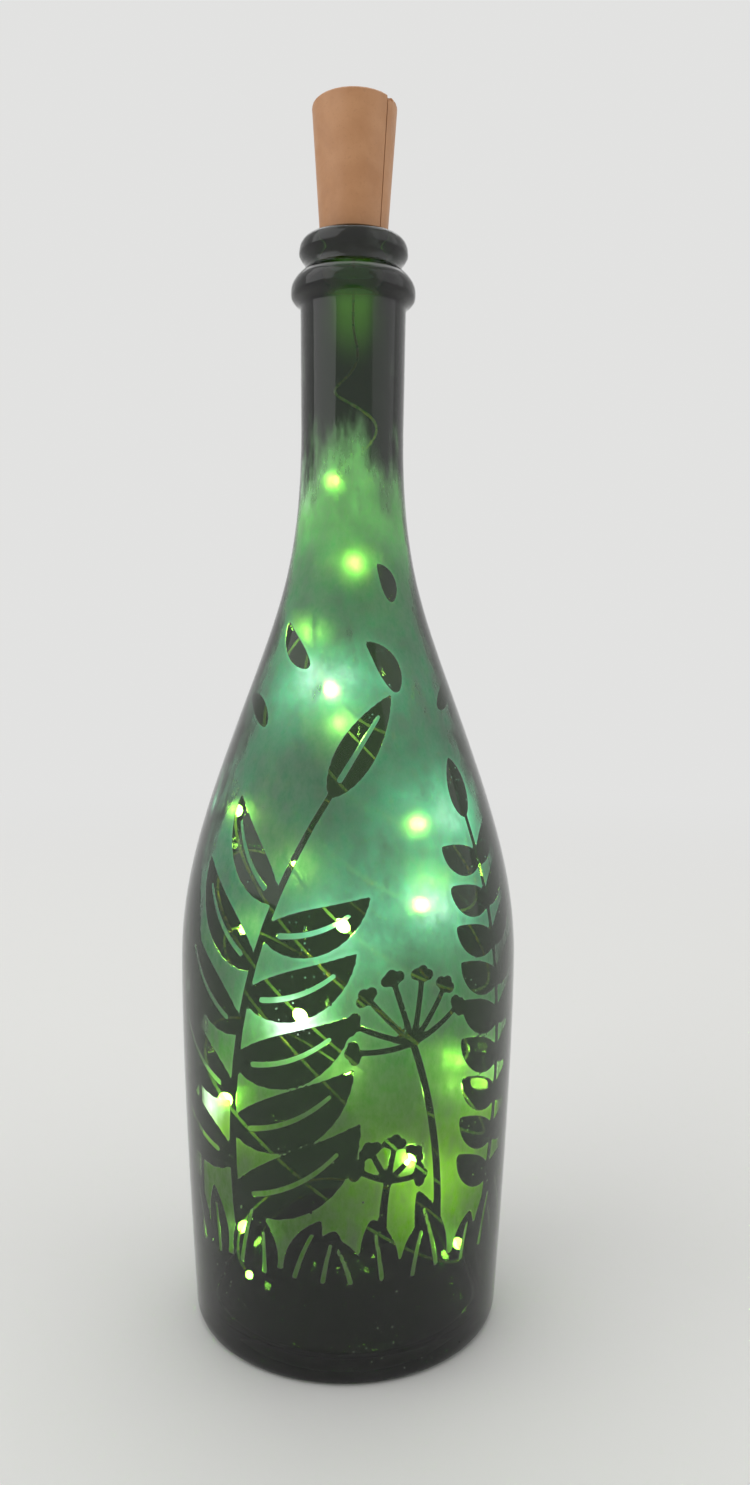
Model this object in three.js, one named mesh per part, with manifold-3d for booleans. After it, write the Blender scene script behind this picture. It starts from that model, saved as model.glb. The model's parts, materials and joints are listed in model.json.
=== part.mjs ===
// Bottle light: a sparkling-wine bottle, a cork-shaped battery stopper and a string of lights.
// Millimetres, +Z up. The origin is the centre of the base, on the surface the bottle stands on.
// The front of the bottle faces -Y.
import * as THREE from "three";
import { mergeVertices } from "three/addons/utils/BufferGeometryUtils.js";
import Module from "manifold-3d";

const wasm = await Module();
wasm.setup();

// Fits
const GAP = 0.3; // between pieces that touch
const RUN = 0.3; // between pieces that slide

// Glass bottle: heights, from the base up
const BODY_Z = 98; // widest ring
const SHOULDER_H = 142; // from the widest ring to the waist of the neck
const NECK_L = 31.6; // from the waist to the collar
const COLLAR_H = 10.2; // ring that held the wire hood
const GROOVE_H = 1.9; // between collar and lip
const LIP_H = 6.5;
const PUNT_H = 22; // hollow under the base
const BASE_T = 5.5; // glass over the punt

// Glass bottle: radii and walls
const BODY_R = 45.7; // widest ring
const FOOT_R = 42; // just above the heel
const HEEL_R = 5; // rounding at the foot
const RING_W = 4; // flat ring that stands on the table
const PUNT_CORNER_R = 20; // where the slopes of the punt's crown and side meet
const WALL = 3.5; // body and shoulder
const NECK_WALL = 4.49; // at the waist, round the bore
const SEAT_WALL = 4.79; // just below the collar
const COLLAR_WALL = 7.31;
const GROOVE_WALL = 3.69;
const LIP_WALL = 5.21;

// Glass bottle: curves
const BODY_BOW_Z = 66; // where the side's slope and the upright of the widest ring meet
const SHOULDER_RISE = 22; // upright start of the shoulder
const TURN_Z = 69; // above the widest ring, where the shoulder's curve turns over
const TURN_R = 29;
const TURN_SLOPE = 0.37; // radius lost for each millimetre of height there
const TURN_BELOW = 30; // pull of that slope on the curve below it
const TURN_ABOVE = 26.5; // and above it
const NECK_SETTLE = 34; // upright end of the shoulder
const COLLAR_FOOT = 4;
const COLLAR_ROUND = 5.3;
const COLLAR_SLOPE = 2.7; // fall of the slope from the groove to the line of the collar's side
const LIP_UNDER = 2.4;
const LIP_SLOPE = 1.9; // rise of the slope from the groove to the line of the lip's side
const LIP_ROUND = 3.8;
const MOUTH_ROUND = 1;
const INNER_HEEL = 10; // rounding inside the foot
const BOTTLE_SIDES = 36;

// Button cells and their contacts
const CELLS = 3;
const CELL_R = 5.8;
const CELL_H = 5.4;
const CELL_BEVEL = 0.4;
const CELL_STEP = 1; // width of the step round the negative end
const PLATE_T = 0.4;
const PLATE_R = 4.8;
const SPRING_H = 4;
const SPRING_FOOT_R = 4.2;
const SPRING_TOP_R = 2.6;
const SPRING_WIRE_R = 0.3;
const SPRING_CURLS = 3;
const TAB_W = 1.6;
const TAB_RISE = 1.4; // tab above the end wall

// Slide switch
const SWITCH_L = 9.2;
const SWITCH_W = 4.4;
const SWITCH_H = 3.8;
const SWITCH_METAL = 0.3;
const SWITCH_BASE_H = 1.6;
const KNOB_L = 2.4;
const KNOB_W = 1.6;
const KNOB_H = 1.2; // above the cork's top
const KNOB_TRAVEL = 2;
const SLIDER_L = 4.2;
const WIPER_T = 0.25;
const PINS = 3;
const PIN_STEP = 2.5;
const PIN_W = 0.6;
const PIN_L = 1.8;
const PIN_ROOM = 0.5; // free height under the pins

// Cork-shaped stopper
const LOWER_END = 12; // undivided length below the cover
const END_WALL = 1.6; // between the cells and the switch
const ROOF = 1.6; // over the switch
const SIDE_WALL = 0.98; // thinnest outer wall
const CORK_TAPER = 0.069; // radius gained for each millimetre of height
const CORK_SHOWN = 34; // length that stands out of the mouth
const CORK_RIM = 1.2; // rounding of the top edge
const CORK_EDGE = 0.8; // bevel of the bottom edge
const COVER_WALL = 1.2;
const COVER_TOP = 1.6;
const NOTCH_W = 2.2; // finger notch at the cover's top edge
const NOTCH_H = 1.3;
const NOTCH_DEEP = 1.6;
const RAIL_WALL = 0.5; // between the cells' trough and a rail's groove
const RAIL_T = 0.8;
const RAIL_DEEP = 1;
const SEAM_TURN = -40.5; // degrees from +X to the seam at the front right
const CORK_SIDES = 32;
const SMALL_SIDES = 20;

// Board, plug and leads
const BOARD_R = 5.4;
const BOARD_T = 1;
const BOARD_Z = 6.7; // underside, above the cork's bottom
const BOARD_ROOM = 2.5; // free height over the board
const BOARD_LEDGE = 0.7; // step that the board seats against
const PLUG_T = 3;
const PLUG_RIM = 1.2;
const PLUG_INSET = 0.4;
const RESISTOR = { x: 2, y: 1.25, z: 0.55 };
const LEAD_R = 0.4;
const LEAD_SIDES = 6;
const LEAD_STEPS = 20;

// Light string
const STRING_L = 2000;
const STRING_R = 0.4;
const STRING_STEPS = 232;
const STRING_SIDES = 6;
const LIGHTS = 20;
const LIGHT_LEAD = 81.5; // from the board to the first light
const LIGHT_STEP = 100;
const LIGHT_R = 1.5;
const LIGHT_L = 4.4;
const LIGHT_END_R = 0.9;
const LIGHT_FULL_L = 1.8; // length at the full radius
const LIGHT_SIDES = 8;
const TIP_R = 0.9;
const TIP_L = 3;

// Way the string lies: a slack coil down the neck, then loops that lean against the glass
const NECK_ROOM = 1.25; // between a light in the neck and the bore
const NECK_TURNS = 2.17;
const NECK_START = -3.2; // radians
const NECK_STRAIGHT = 0.22; // share of the neck's run that hangs straight
const NECK_WIDEN = 0.4; // share in which it opens to the coil
const NECK_STEPS = 40;
const LOOP_TOP_Z = 214.1;
const LOOP_LOW_Z = 28.1;
const LOOPS = 8.94;
const LOOP_EASE = 0.15; // share of the loops in which they open, and in which they come to rest
const LOOP_TILT = 31.2;
const LOOP_TILT_RATE = 0.968;
const LOOP_TILT_PHASE = 0.11;
const LOOP_SWAY = 6.2; // how far a loop leaves the glass
const LOOP_SWAY_RATE = 0.601;
const LOOP_SWAY_PHASE = 0.165;
const LOOP_REST_Z = 17; // the last loop lies round the punt
const LOOP_STEPS = 24;
const GLASS_ROOM = 0.4; // spare room between a light and the glass

// Places in the stopper, above its bottom
const TROUGH_R = CELL_R + GAP;
const TRACK_IN = TROUGH_R + RAIL_WALL;
const TRACK_OUT = TRACK_IN + RAIL_T + 2 * RUN;
const PLATE_Z = LOWER_END + GAP;
const SPRING_Z = PLATE_Z + PLATE_T + GAP;
const CELL_Z = SPRING_Z + SPRING_H + GAP;
const CONTACT_Z = CELL_Z + CELLS * (CELL_H + GAP);
const BAY_TOP = CONTACT_Z + PLATE_T + GAP;
const POCKET_FLOOR = BAY_TOP + END_WALL;
const PIN_FOOT = POCKET_FLOOR + PIN_ROOM;
const SWITCH_Z = PIN_FOOT + PIN_L + GAP;
const SWITCH_TOP = SWITCH_Z + SWITCH_H;
const POCKET_TOP = SWITCH_TOP + GAP;
const CORK_L = POCKET_TOP + ROOF;
const POCKET_R = corkRadius(POCKET_FLOOR) - SIDE_WALL; // reach of the pocket's back corners
const POCKET_X = SWITCH_L / 2 + GAP;
const POCKET_Y = SWITCH_W / 2 + GAP;
const SWITCH_Y = POCKET_Y - Math.sqrt(POCKET_R ** 2 - POCKET_X ** 2);
const SLOT_X = (KNOB_L + KNOB_TRAVEL) / 2 + RUN;
const SLOT_Y = KNOB_W / 2 + RUN;
const TAB_Y = SWITCH_Y + PIN_W / 2 + GAP;
const BOARD_TOP = BOARD_Z + BOARD_T;
const BOARD_SEAT = BOARD_TOP + GAP;
const BOARD_BORE_R = BOARD_R + 2 * GAP;
const BOARD_ROOM_R = BOARD_R - BOARD_LEDGE;
const LEAD_X = PIN_STEP;
const LEAD_BACK = -TROUGH_R - LEAD_R - GAP;
const LEAD_FOOT = LEAD_R - BOARD_ROOM_R;
const BATTERY_LEAD_Y = BOARD_ROOM_R - 2 * LEAD_R - GAP;

// Places on the bottle, above the table
const NECK_Z = BODY_Z + SHOULDER_H;
const COLLAR_Z = NECK_Z + NECK_L;
const GROOVE_Z = COLLAR_Z + COLLAR_H;
const LIP_Z = GROOVE_Z + GROOVE_H;
const BOTTLE_H = LIP_Z + LIP_H;
const CORK_IN = CORK_L - CORK_SHOWN;
const CORK_Z = BOTTLE_H - CORK_IN;
const BORE_R = corkRadius(CORK_IN) + GAP;
const RING_OUT = FOOT_R - HEEL_R / 2;
const RING_IN = RING_OUT - RING_W;

// The stopper is as wide as its rails and walls need where the cover ends, and tapers from there.
function corkRadius(z) {
  return TRACK_OUT + SIDE_WALL + CORK_TAPER * (z - LOWER_END);
}

// Outline of a turned shape: radius and height, point by point.
function outline(r, z) {
  const points = [new THREE.Vector2(r, z)];
  const at = (x, y) => new THREE.Vector2(x, y);
  const last = () => points[points.length - 1];
  const follow = (curve, steps) => points.push(...curve.getPoints(steps).slice(1));
  return {
    points,
    line(x, y) {
      points.push(at(x, y));
      return this;
    },
    round(cornerX, cornerY, x, y, steps) {
      follow(new THREE.QuadraticBezierCurve(last(), at(cornerX, cornerY), at(x, y)), steps);
      return this;
    },
    sweep(x1, y1, x2, y2, x, y, steps) {
      follow(new THREE.CubicBezierCurve(last(), at(x1, y1), at(x2, y2), at(x, y)), steps);
      return this;
    },
  };
}

function turned(points, sides) {
  return new THREE.LatheGeometry(points, sides).rotateX(Math.PI / 2);
}

function cylinder(r, z0, z1, sides = SMALL_SIDES) {
  return turned(outline(0, z0).line(r, z0).line(r, z1).line(0, z1).points, sides);
}

function box(x0, x1, y0, y1, z0, z1) {
  const shape = new THREE.BoxGeometry(x1 - x0, y1 - y0, z1 - z0);
  return shape.translate((x0 + x1) / 2, (y0 + y1) / 2, (z0 + z1) / 2);
}

// Closed solid for cutting and joining, with its faces turned outwards.
function solid(geometry) {
  const bare = geometry.clone();
  bare.deleteAttribute("normal");
  bare.deleteAttribute("uv");
  const merged = mergeVertices(bare, 1e-4);
  const p = merged.attributes.position;
  const corner = (i) => new THREE.Vector3().fromBufferAttribute(p, i);
  const faces = [];
  let volume = 0;
  for (let i = 0; i < merged.index.count; i += 3) {
    const [j, k, l] = merged.index.array.slice(i, i + 3);
    if (j === k || k === l || l === j) continue;
    faces.push([j, k, l]);
    volume += corner(j).dot(corner(k).cross(corner(l)));
  }
  const outward = volume > 0 ? faces : faces.map(([j, k, l]) => [j, l, k]);
  const triVerts = Uint32Array.from(outward.flat());
  return new wasm.Manifold(new wasm.Mesh({ numProp: 3, vertProperties: p.array, triVerts }));
}

function geometryOf(body) {
  const { vertProperties, triVerts } = body.getMesh();
  const geometry = new THREE.BufferGeometry();
  geometry.setAttribute("position", new THREE.BufferAttribute(vertProperties, 3));
  geometry.setIndex(new THREE.BufferAttribute(triVerts, 1));
  geometry.computeVertexNormals();
  return geometry;
}

// Tube of straight steps through points, with closed ends. Each ring carries on from the one before it.
function tube(points, radius, sides) {
  const position = [];
  const index = [];
  const last = points.length - 1;
  const across = new THREE.Vector3(0.6, 0.8, 0);
  points.forEach((point, i) => {
    const way = points[Math.min(last, i + 1)].clone().sub(points[Math.max(0, i - 1)]).normalize();
    across.addScaledVector(way, -across.dot(way)).normalize();
    const beside = new THREE.Vector3().crossVectors(way, across);
    for (let j = 0; j < sides; j++) {
      const turn = (2 * Math.PI * j) / sides;
      const spot = point.clone().addScaledVector(across, radius * Math.cos(turn));
      position.push(...spot.addScaledVector(beside, radius * Math.sin(turn)).toArray());
      if (i === 0) continue;
      const a = (i - 1) * sides + j;
      const b = (i - 1) * sides + ((j + 1) % sides);
      index.push(a, b, b + sides, a, b + sides, a + sides);
    }
  });
  for (let j = 1; j < sides - 1; j++) {
    index.push(0, j + 1, j);
    index.push(last * sides, last * sides + j, last * sides + j + 1);
  }
  const geometry = new THREE.BufferGeometry();
  geometry.setAttribute("position", new THREE.Float32BufferAttribute(position, 3));
  geometry.setIndex(index);
  geometry.computeVertexNormals();
  return geometry;
}

// Least distance between a wound tube's surface and itself, leaving out near neighbours along it.
function leastGap(points, radius) {
  const step = points[0].distanceTo(points[1]);
  const skip = Math.ceil((8 * radius) / step) + 1;
  let least = Infinity;
  for (let i = 0; i < points.length; i++) {
    for (let j = i + skip; j < points.length; j++) {
      least = Math.min(least, points[i].distanceTo(points[j]));
    }
  }
  return least - 2 * radius;
}

function smooth(t) {
  const x = Math.min(1, Math.max(0, t));
  return x * x * (3 - 2 * x);
}

const FINISH = {
  glass: { color: 0x16240f, roughness: 0.05, metalness: 0 },
  cork: { color: 0xbc8962, roughness: 0.55, metalness: 0 },
  steel: { color: 0xb8bcc0, roughness: 0.3, metalness: 1 },
  brass: { color: 0xc9a45c, roughness: 0.3, metalness: 1 },
  copper: { color: 0xb4764a, roughness: 0.35, metalness: 1 },
  resin: { color: 0xf2f5ef, roughness: 0.15, metalness: 0 },
  black: { color: 0x1b1b1c, roughness: 0.5, metalness: 0 },
  red: { color: 0xa3201c, roughness: 0.45, metalness: 0 },
  board: { color: 0x1d5a34, roughness: 0.5, metalness: 0 },
  white: { color: 0xe4e1d8, roughness: 0.5, metalness: 0 },
};

const bottleLight = new THREE.Group();
const stopper = new THREE.Group();
stopper.position.z = CORK_Z;
stopper.rotation.z = THREE.MathUtils.degToRad(SEAM_TURN);
bottleLight.add(stopper);

function piece(group, name, geometry, finish) {
  const mesh = new THREE.Mesh(geometry, new THREE.MeshStandardMaterial(FINISH[finish]));
  mesh.name = name;
  group.add(mesh);
  return mesh;
}

// Body and shoulder from the foot to the neck's waist, drawn upwards and set in by a wall.
function bodySide(inset, footZ, waistR, steps) {
  const turnZ = BODY_Z + TURN_Z;
  const turnR = TURN_R - inset;
  const wideR = BODY_R - inset;
  const path = outline(FOOT_R - inset, footZ);
  path.round(wideR, BODY_BOW_Z, wideR, BODY_Z, steps);
  const lowR = turnR + TURN_SLOPE * TURN_BELOW;
  path.sweep(wideR, BODY_Z + SHOULDER_RISE, lowR, turnZ - TURN_BELOW, turnR, turnZ, 2 * steps);
  const highR = turnR - TURN_SLOPE * TURN_ABOVE;
  path.sweep(highR, turnZ + TURN_ABOVE, waistR, NECK_Z - NECK_SETTLE, waistR, NECK_Z, 2 * steps);
  return path.points;
}

// Underside of the bottle or of its inside: the punt's dome, lifted by the thickness of the base.
function punt(lift) {
  return outline(0, PUNT_H + lift).round(PUNT_CORNER_R, PUNT_H + lift, RING_IN, lift, 5);
}

function bottleOutside() {
  const seatR = BORE_R + SEAT_WALL;
  const collarR = BORE_R + COLLAR_WALL;
  const grooveR = BORE_R + GROOVE_WALL;
  const lipR = BORE_R + LIP_WALL;
  const base = punt(0).line(RING_OUT, 0).round(FOOT_R, 0, FOOT_R, HEEL_R, 3);
  const top = outline(seatR, COLLAR_Z);
  const swell = COLLAR_Z + COLLAR_FOOT / 2;
  top.sweep(seatR, swell, collarR, swell, collarR, COLLAR_Z + COLLAR_FOOT, 3);
  top.line(collarR, GROOVE_Z - COLLAR_ROUND).round(collarR, GROOVE_Z - COLLAR_SLOPE, grooveR, GROOVE_Z, 4);
  top.line(grooveR, LIP_Z).round(lipR, LIP_Z + LIP_SLOPE, lipR, LIP_Z + LIP_UNDER, 2);
  top.line(lipR, BOTTLE_H - LIP_ROUND).round(lipR, BOTTLE_H, lipR - LIP_ROUND, BOTTLE_H, 4);
  return [...base.points, ...bodySide(0, HEEL_R, BORE_R + NECK_WALL, 4).slice(1), ...top.points];
}

// Inside of the bottle, drawn upwards from the crown of the punt to the mouth.
function bottleInside() {
  const heelTop = BASE_T + INNER_HEEL;
  const wallR = FOOT_R - WALL;
  const floor = punt(BASE_T).round(wallR, BASE_T, wallR, heelTop, 3);
  const mouth = outline(BORE_R, BOTTLE_H - MOUTH_ROUND);
  mouth.round(BORE_R, BOTTLE_H, BORE_R + MOUTH_ROUND, BOTTLE_H, 2);
  return [...floor.points, ...bodySide(WALL, heelTop, BORE_R, 3).slice(1), ...mouth.points];
}

const INSIDE = bottleInside();

function makeBottle() {
  const profile = [...bottleOutside(), ...INSIDE.slice().reverse()];
  piece(bottleLight, "glass_bottle", turned(profile, BOTTLE_SIDES), "glass");
}

const FAR = 2 * corkRadius(CORK_L); // past the cork's side in any direction

function wholeCork() {
  const path = outline(0, 0).line(corkRadius(0) - CORK_EDGE, 0).line(corkRadius(CORK_EDGE), CORK_EDGE);
  path.line(corkRadius(CORK_L - CORK_RIM), CORK_L - CORK_RIM);
  path.round(corkRadius(CORK_L), CORK_L, corkRadius(CORK_L) - CORK_RIM, CORK_L, 3);
  return solid(turned(path.line(0, CORK_L).points, CORK_SIDES));
}

// The cork's taper between two heights, set in by a wall.
function corkCore(inset, z0, z1) {
  const path = outline(0, z0).line(corkRadius(z0) - inset, z0).line(corkRadius(z1) - inset, z1);
  return solid(turned(path.line(0, z1).points, CORK_SIDES));
}

function makeCorkBody() {
  const coverSide = solid(box(-FAR, FAR, -GAP / 2, FAR, LOWER_END, CORK_L + 1));
  const trough = solid(cylinder(TROUGH_R, LOWER_END, BAY_TOP, CORK_SIDES));
  const behindRails = solid(box(-FAR, FAR, -RAIL_DEEP, FAR, BAY_TOP, POCKET_FLOOR));
  const endWall = solid(cylinder(TROUGH_R, BAY_TOP, POCKET_FLOOR, CORK_SIDES)).intersect(behindRails);
  let body = wholeCork().subtract(coverSide).subtract(trough).add(endWall);
  for (const cut of [...trackCuts(), ...switchCuts(), ...lowerCuts(), leadCut()]) {
    body = body.subtract(solid(cut));
  }
  piece(stopper, "cork_body", geometryOf(body), "cork");
}

// Grooves that the cover's rails run in, open at the top.
function trackCuts() {
  const deep = -GAP / 2 - RAIL_DEEP - RUN;
  const groove = (x0, x1) => box(x0, x1, deep, GAP, LOWER_END, CORK_L + 1);
  return [groove(TRACK_IN, TRACK_OUT), groove(-TRACK_OUT, -TRACK_IN)];
}

// Pocket of the switch, slot of its knob and slot of the contact's tab.
function switchCuts() {
  const tabX = TAB_W / 2 + GAP;
  return [
    box(-POCKET_X, POCKET_X, SWITCH_Y - POCKET_Y, GAP, POCKET_FLOOR, POCKET_TOP),
    box(-SLOT_X, SLOT_X, SWITCH_Y - SLOT_Y, SWITCH_Y + SLOT_Y, POCKET_TOP - 1, CORK_L + 1),
    box(-tabX, tabX, TAB_Y - GAP, TAB_Y + PLATE_T + GAP, BAY_TOP - 1, POCKET_FLOOR + 1),
  ];
}

// Room for the plug, the board and what is on it, and the hole of the battery lead.
function lowerCuts() {
  const roomTop = BOARD_SEAT + BOARD_ROOM;
  return [
    cylinder(BOARD_BORE_R, -1, BOARD_SEAT),
    cylinder(BOARD_ROOM_R, BOARD_SEAT - 1, roomTop),
    cylinder(LEAD_R + GAP, roomTop - 1, LOWER_END + 1).translate(0, BATTERY_LEAD_Y, 0),
  ];
}

// Channel behind the cells, from the switch's pocket down to the board.
function leadCut() {
  const half = LEAD_R + GAP;
  const top = POCKET_FLOOR + 1;
  return box(LEAD_X - half, LEAD_X + half, LEAD_BACK - half, LEAD_FOOT + half, BOARD_SEAT, top);
}

function makeBatteryCover() {
  const low = LOWER_END + GAP;
  const lid = CORK_L - COVER_TOP;
  const railTop = lid + COVER_TOP / 2;
  const half = solid(box(-FAR, FAR, GAP / 2, FAR, low, CORK_L + 1));
  const reach = solid(box(-FAR, FAR, -GAP / 2 - RAIL_DEEP, FAR, low, railTop));
  const railCore = corkCore(COVER_WALL / 2, LOWER_END, railTop).intersect(reach);
  let cover = wholeCork().intersect(half).subtract(corkCore(COVER_WALL, LOWER_END - 1, lid));
  const inner = TRACK_IN + RUN;
  for (const x0 of [inner, -inner - RAIL_T]) {
    const strip = solid(box(x0, x0 + RAIL_T, -FAR, FAR, low, CORK_L));
    cover = cover.add(strip.intersect(railCore));
  }
  const notchX = corkRadius(CORK_L) - NOTCH_DEEP;
  cover = cover.subtract(solid(box(notchX, FAR, -GAP, NOTCH_W, CORK_L - NOTCH_H, CORK_L + 1)));
  piece(stopper, "battery_cover", geometryOf(cover), "cork");
}

function makeCells() {
  const form = outline(0, 0).line(CELL_R - CELL_STEP, 0).line(CELL_R - CELL_STEP, CELL_BEVEL);
  form.line(CELL_R, 2 * CELL_BEVEL).line(CELL_R, CELL_H - CELL_BEVEL);
  form.line(CELL_R - CELL_BEVEL, CELL_H).line(0, CELL_H);
  for (let i = 0; i < CELLS; i++) {
    const cell = piece(stopper, `cell_${i + 1}`, turned(form.points, SMALL_SIDES), "steel");
    cell.position.z = CELL_Z + i * (CELL_H + GAP);
  }
}

// Conical spring, from the plate up to the first cell.
function springPoints(stepsPerCurl) {
  const points = [];
  const count = SPRING_CURLS * stepsPerCurl;
  for (let i = 0; i <= count; i++) {
    const t = i / count;
    const turn = 2 * Math.PI * SPRING_CURLS * t;
    const r = SPRING_FOOT_R + (SPRING_TOP_R - SPRING_FOOT_R) * t;
    const z = SPRING_WIRE_R + (SPRING_H - 2 * SPRING_WIRE_R) * t;
    points.push(new THREE.Vector3(r * Math.cos(turn), r * Math.sin(turn), z));
  }
  return points;
}

function makeContacts() {
  piece(stopper, "spring_plate", cylinder(PLATE_R, PLATE_Z, PLATE_Z + PLATE_T), "steel");
  const spring = piece(stopper, "contact_spring", tube(springPoints(8), SPRING_WIRE_R, 5), "steel");
  spring.position.z = SPRING_Z;
  const gap = leastGap(springPoints(32), SPRING_WIRE_R);
  console.log(`contact_spring: least gap to itself ${gap.toFixed(2)} mm`);
  const half = TAB_W / 2;
  const top = CONTACT_Z + PLATE_T;
  const tabTop = POCKET_FLOOR + TAB_RISE;
  const disc = solid(cylinder(CELL_R - CELL_STEP, CONTACT_Z, top));
  const strip = solid(box(-half, half, TAB_Y, 0, CONTACT_Z, top));
  const tab = solid(box(-half, half, TAB_Y, TAB_Y + PLATE_T, CONTACT_Z, tabTop));
  piece(stopper, "positive_contact", geometryOf(disc.add(strip).add(tab)), "brass");
}

// The switch hangs under the cork's roof: metal frame outside, plastic base below, slider between.
function makeSwitch() {
  const group = new THREE.Group();
  group.position.y = SWITCH_Y;
  stopper.add(group);
  const x = SWITCH_L / 2;
  const y = SWITCH_W / 2;
  const inX = x - SWITCH_METAL;
  const inY = y - SWITCH_METAL;
  const shell = solid(box(-x, x, -y, y, SWITCH_Z, SWITCH_TOP));
  const room = solid(box(-inX, inX, -inY, inY, SWITCH_Z - 1, SWITCH_TOP - SWITCH_METAL));
  const slot = solid(box(-SLOT_X, SLOT_X, -SLOT_Y, SLOT_Y, SWITCH_Z, SWITCH_TOP + 1));
  piece(group, "switch_frame", geometryOf(shell.subtract(room).subtract(slot)), "steel");
  const baseTop = SWITCH_Z + SWITCH_BASE_H;
  const base = box(GAP - inX, inX - GAP, GAP - inY, inY - GAP, SWITCH_Z, baseTop);
  piece(group, "switch_base", base, "black");
  for (let i = 0; i < PINS; i++) {
    const form = box(-PIN_W / 2, PIN_W / 2, -PIN_W / 2, PIN_W / 2, PIN_FOOT, PIN_FOOT + PIN_L);
    const pin = piece(group, `switch_pin_${i + 1}`, form, "steel");
    pin.position.x = (i - (PINS - 1) / 2) * PIN_STEP;
  }
  makeSlider(group, baseTop, inY - RUN);
}

// Knob, the block under the frame's slot and the contact below it, at one end of their travel.
function makeSlider(group, baseTop, halfW) {
  const moving = new THREE.Group();
  moving.position.x = -KNOB_TRAVEL / 2;
  group.add(moving);
  const wiperZ = baseTop + RUN;
  const wiperX = SLIDER_L / 2 - GAP;
  const wiper = box(-wiperX, wiperX, -halfW / 2, halfW / 2, wiperZ, wiperZ + WIPER_T);
  piece(moving, "switch_wiper", wiper, "brass");
  const low = wiperZ + WIPER_T + GAP;
  const blockTop = SWITCH_TOP - SWITCH_METAL - RUN;
  const block = solid(box(-SLIDER_L / 2, SLIDER_L / 2, -halfW, halfW, low, blockTop));
  const knob = solid(box(-KNOB_L / 2, KNOB_L / 2, -KNOB_W / 2, KNOB_W / 2, low, CORK_L + KNOB_H));
  piece(moving, "switch_slider", geometryOf(block.add(knob)), "black");
}

function makeBoard() {
  piece(stopper, "circuit_board", cylinder(BOARD_R, BOARD_Z, BOARD_TOP), "board");
  const { x, y, z } = RESISTOR;
  piece(stopper, "resistor", box(-x / 2, x / 2, -y / 2, y / 2, BOARD_SEAT, BOARD_SEAT + z), "black");
  const r = BOARD_BORE_R - GAP;
  const hole = STRING_R + GAP;
  const rimTop = BOARD_Z - GAP;
  const floorTop = PLUG_INSET + PLUG_T;
  const plug = outline(hole, PLUG_INSET).line(r, PLUG_INSET).line(r, rimTop).line(r - PLUG_RIM, rimTop);
  plug.line(r - PLUG_RIM, floorTop).line(hole, floorTop).line(hole, PLUG_INSET);
  piece(stopper, "bottom_plug", turned(plug.points, SMALL_SIDES), "white");
}

function makeLeads() {
  const v = (x, y, z) => new THREE.Vector3(x, y, z);
  const straight = [v(0, BATTERY_LEAD_Y, PLATE_Z - GAP), v(0, BATTERY_LEAD_Y, BOARD_SEAT)];
  piece(stopper, "battery_lead", tube(straight, LEAD_R, LEAD_SIDES), "black");
  const start = PIN_FOOT - GAP;
  const route = new THREE.CatmullRomCurve3([
    v(LEAD_X, SWITCH_Y, start),
    v(LEAD_X, SWITCH_Y, start - 1),
    v(LEAD_X, LEAD_BACK, BAY_TOP - END_WALL),
    v(LEAD_X, LEAD_BACK, (BAY_TOP + LOWER_END) / 2),
    v(LEAD_X, LEAD_BACK, LOWER_END + 1),
    v(LEAD_X, LEAD_FOOT, BOARD_SEAT + 1),
    v(LEAD_X, LEAD_FOOT, BOARD_SEAT),
  ]);
  piece(stopper, "switch_lead", tube(route.getSpacedPoints(LEAD_STEPS), LEAD_R, LEAD_SIDES), "red");
}

// Inner radius of the glass at a height above the heel.
function glassRadius(z) {
  const wall = INSIDE.slice(INSIDE.findIndex((p) => p.x >= FOOT_R - WALL));
  const i = wall.findIndex((p) => p.y >= z);
  if (i < 0) return BORE_R;
  if (i === 0) return wall[0].x;
  const [a, b] = [wall[i - 1], wall[i]];
  return a.x + ((b.x - a.x) * (z - a.y)) / (b.y - a.y);
}

// Way of the string: straight out of the plug, in a slack coil down the neck, then in leaning loops.
function stringRoute() {
  const points = [];
  const put = (r, turn, z) => points.push(new THREE.Vector3(r * Math.cos(turn), r * Math.sin(turn), z));
  const startZ = CORK_Z + BOARD_Z - GAP;
  const coilR = BORE_R - LIGHT_R - NECK_ROOM;
  for (let i = 0; i <= NECK_STEPS; i++) {
    const t = i / NECK_STEPS;
    const turn = NECK_START + 2 * Math.PI * NECK_TURNS * smooth(t);
    put(coilR * smooth((t - NECK_STRAIGHT) / NECK_WIDEN), turn, startZ + (LOOP_TOP_Z - startZ) * t);
  }
  const count = Math.round(LOOPS * LOOP_STEPS);
  for (let i = 1; i <= count; i++) {
    const t = i / count;
    const turn = NECK_START + 2 * Math.PI * (NECK_TURNS + LOOPS * t);
    const open = smooth(t / LOOP_EASE);
    const rest = smooth((t + LOOP_EASE - 1) / LOOP_EASE);
    const lean = LOOP_TILT * open * Math.sin(turn * LOOP_TILT_RATE + LOOP_TILT_PHASE);
    const loose = LOOP_TOP_Z + (LOOP_LOW_Z - LOOP_TOP_Z) * t + lean;
    const z = loose + (LOOP_REST_Z - loose) * rest;
    const sway = 0.5 + 0.5 * Math.sin(turn * LOOP_SWAY_RATE + LOOP_SWAY_PHASE);
    const r = glassRadius(z) - LIGHT_R - GLASS_ROOM - GAP - LOOP_SWAY * open * sway;
    put(coilR + (r - coilR) * open, turn, z);
  }
  const route = new THREE.CatmullRomCurve3(points);
  route.arcLengthDivisions = 20 * count;
  return route;
}

// The string's corner points: its full length in equal steps along the route.
function stringPoints() {
  const route = stringRoute();
  const length = route.getLength();
  console.log(`light_string: route ${length.toFixed(0)} mm, string ${STRING_L} mm`);
  const share = Math.min(1, STRING_L / length);
  return Array.from({ length: STRING_STEPS + 1 }, (_, i) => route.getPointAt((share * i) / STRING_STEPS));
}

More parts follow.
